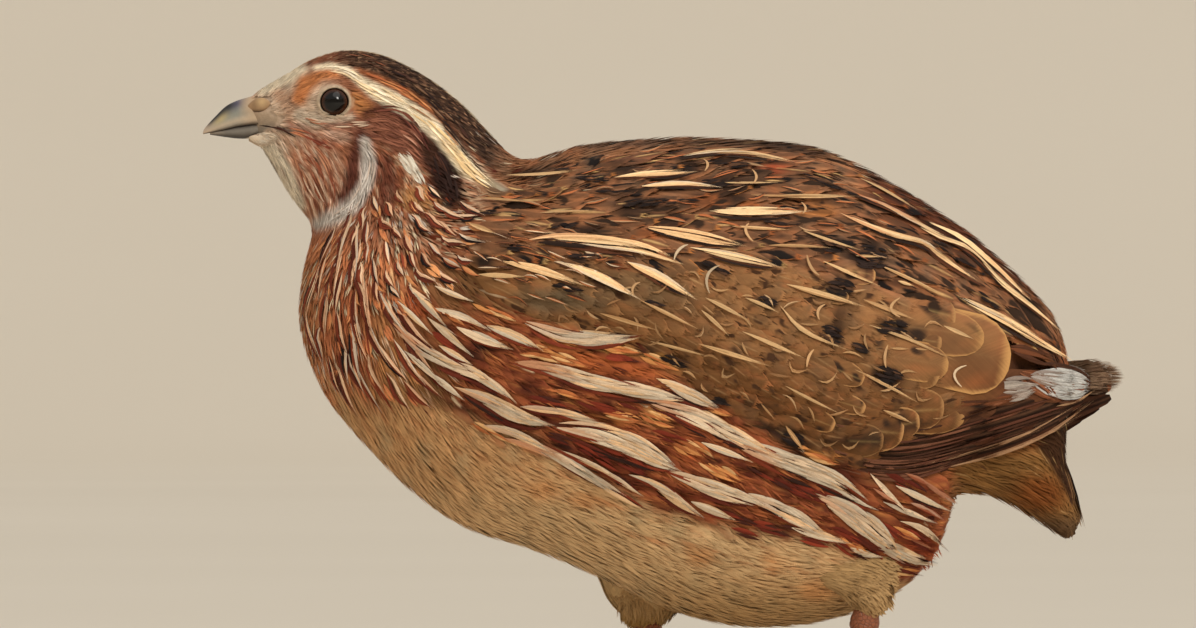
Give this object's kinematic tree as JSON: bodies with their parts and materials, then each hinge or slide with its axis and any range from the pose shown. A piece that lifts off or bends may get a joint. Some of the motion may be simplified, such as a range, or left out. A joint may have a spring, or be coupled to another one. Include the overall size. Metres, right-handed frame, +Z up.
{
  "type": "coturnix quail model",
  "caption": "Life-size still model of a standing coturnix quail with folded wings and streaked plumage, in mid-stride.",
  "frame": {"origin": "on the floor under the middle of the bird's bounding box; the soles lie at Z = 0", "axes": "+X towards the tail (the bill points to -X), +Y towards the bird's right side, +Z up"},
  "size_m": [0.1683, 0.0752, 0.1332],
  "materials": {
    "body_plumage": "soft overlapping feathers, warm brown and rufous with cream streaks",
    "head_plumage": "short fine feathers, dark crown, cream brow and rusty cheeks",
    "wing_plumage": "flat overlapping wing feathers, brown with buff edges",
    "tail_plumage": "short dark brown tail feathers with pale shafts and buff coverts",
    "leg_skin": "scaled bare skin, flesh brown, satin",
    "bill_horn": "smooth blue-grey horn, paler at the tip",
    "claw_horn": "smooth dark horn",
    "eye": "wet dark brown eye, glossy"
  },
  "bodies": {
    "root": {"trunk": "body_plumage", "neck": "body_plumage", "thigh_L": "body_plumage", "thigh_R": "body_plumage", "head": "head_plumage", "wing_L": "wing_plumage", "wing_R": "wing_plumage", "tail": "tail_plumage", "shank_L": "leg_skin", "shank_R": "leg_skin", "foot_L": "leg_skin", "foot_R": "leg_skin", "bill_upper": "bill_horn", "bill_lower": "bill_horn", "eye_L": "eye", "eye_R": "eye", "claw_L_inner": "claw_horn", "claw_L_middle": "claw_horn", "claw_L_outer": "claw_horn", "claw_L_hind": "claw_horn", "claw_R_inner": "claw_horn", "claw_R_middle": "claw_horn", "claw_R_outer": "claw_horn", "claw_R_hind": "claw_horn"}
  },
  "joints": []
}
